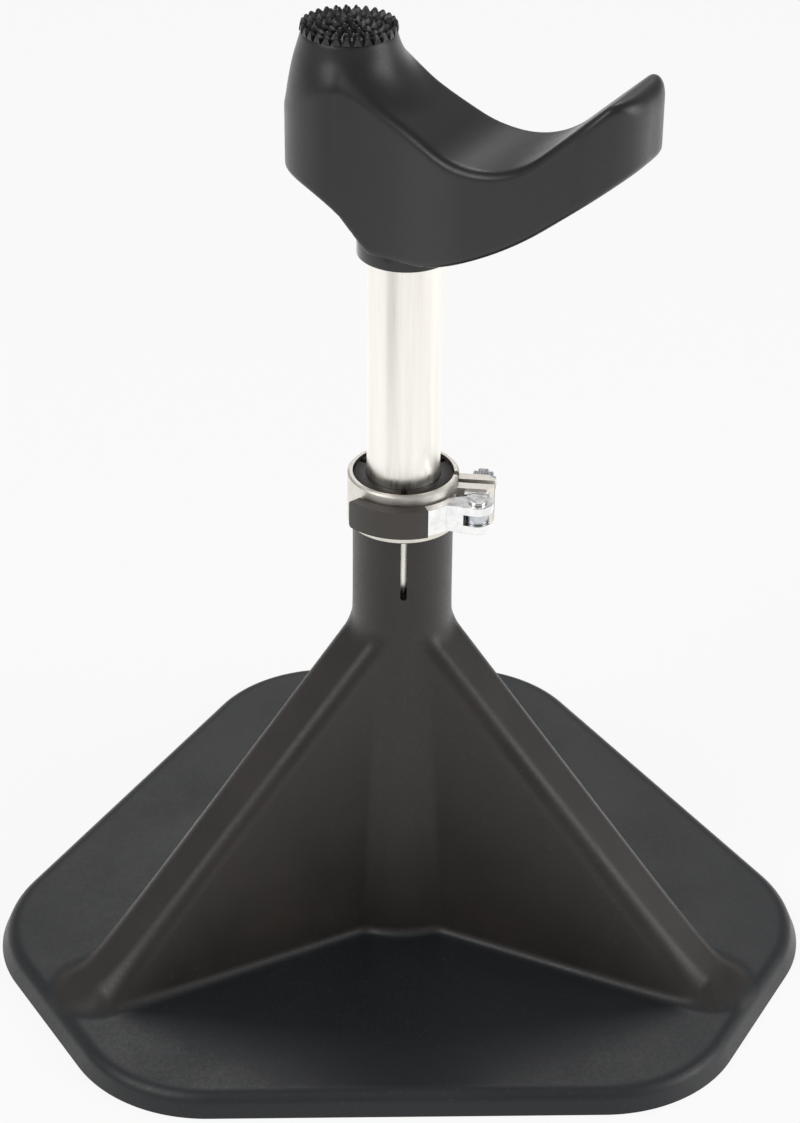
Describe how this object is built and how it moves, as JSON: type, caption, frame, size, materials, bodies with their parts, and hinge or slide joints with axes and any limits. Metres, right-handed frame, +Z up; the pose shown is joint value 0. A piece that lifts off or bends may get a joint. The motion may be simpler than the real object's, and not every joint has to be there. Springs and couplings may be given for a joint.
{
  "type": "hoof trimming stand",
  "caption": "Hoof trimming stand: ribbed three-way base, clamped sliding post and a swivelling rubber head with a studded pedestal and a cradle.",
  "frame": {"origin": "on the post's axis, at the floor face under the base", "axes": "+Z up along the post, -Y towards the front, where a long side of the base and a gap between two ribs are; +X to the right, where the clamp's ears are"},
  "size_m": [0.4416, 0.404, 0.5168],
  "materials": {
    "base_rubber": "matte, moulded",
    "head_rubber": "matte, moulded",
    "post_steel": "satin, drawn tube",
    "collar_plastic": "gloss",
    "plug_plastic": "matte",
    "washer_plastic": "matte",
    "ring_aluminium": "satin",
    "lever_steel": "polished",
    "zinc_steel": "zinc plated",
    "grip_rubber": "matte"
  },
  "bodies": {
    "base": {"base_moulding": "base_rubber", "clamp_ring": "ring_aluminium", "clamp_bolt": "zinc_steel", "saddle_washer": "lever_steel", "nut_washer": "zinc_steel", "locating_screw": "lever_steel"},
    "post": {"post_tube": "post_steel", "tube_end_plug": "plug_plastic", "swivel_bushing": "collar_plastic"},
    "head": {"head_moulding": "head_rubber", "grip_studs": "head_rubber", "spindle": "zinc_steel", "spindle_anchor": "zinc_steel", "thrust_washer": "washer_plastic", "spindle_circlip": "zinc_steel"},
    "lever": {"clamp_lever": "lever_steel", "lever_grip": "grip_rubber", "pivot_pin": "lever_steel"},
    "nut": {"adjusting_nut": "zinc_steel"}
  },
  "joints": [
    {"name": "height_slide", "type": "slide", "parent": "base", "child": "post", "axis": [0, 0, 1], "range_m": [-0.115, 0.06]},
    {"name": "head_swivel", "type": "hinge", "parent": "post", "child": "head", "pos_m": [0, 0, 0.4], "axis": [0, 0, 1], "continuous": true},
    {"name": "clamp_lever", "type": "hinge", "parent": "base", "child": "lever", "pos_m": [0.03736, -0.02443, 0.2637], "axis": [0, 0, 1], "range_deg": [0, 160]},
    {"name": "adjust_nut", "type": "hinge", "parent": "base", "child": "nut", "pos_m": [0.04154, 0.00649, 0.2637], "axis": [0.134, 0.991, 0], "continuous": true}
  ]
}
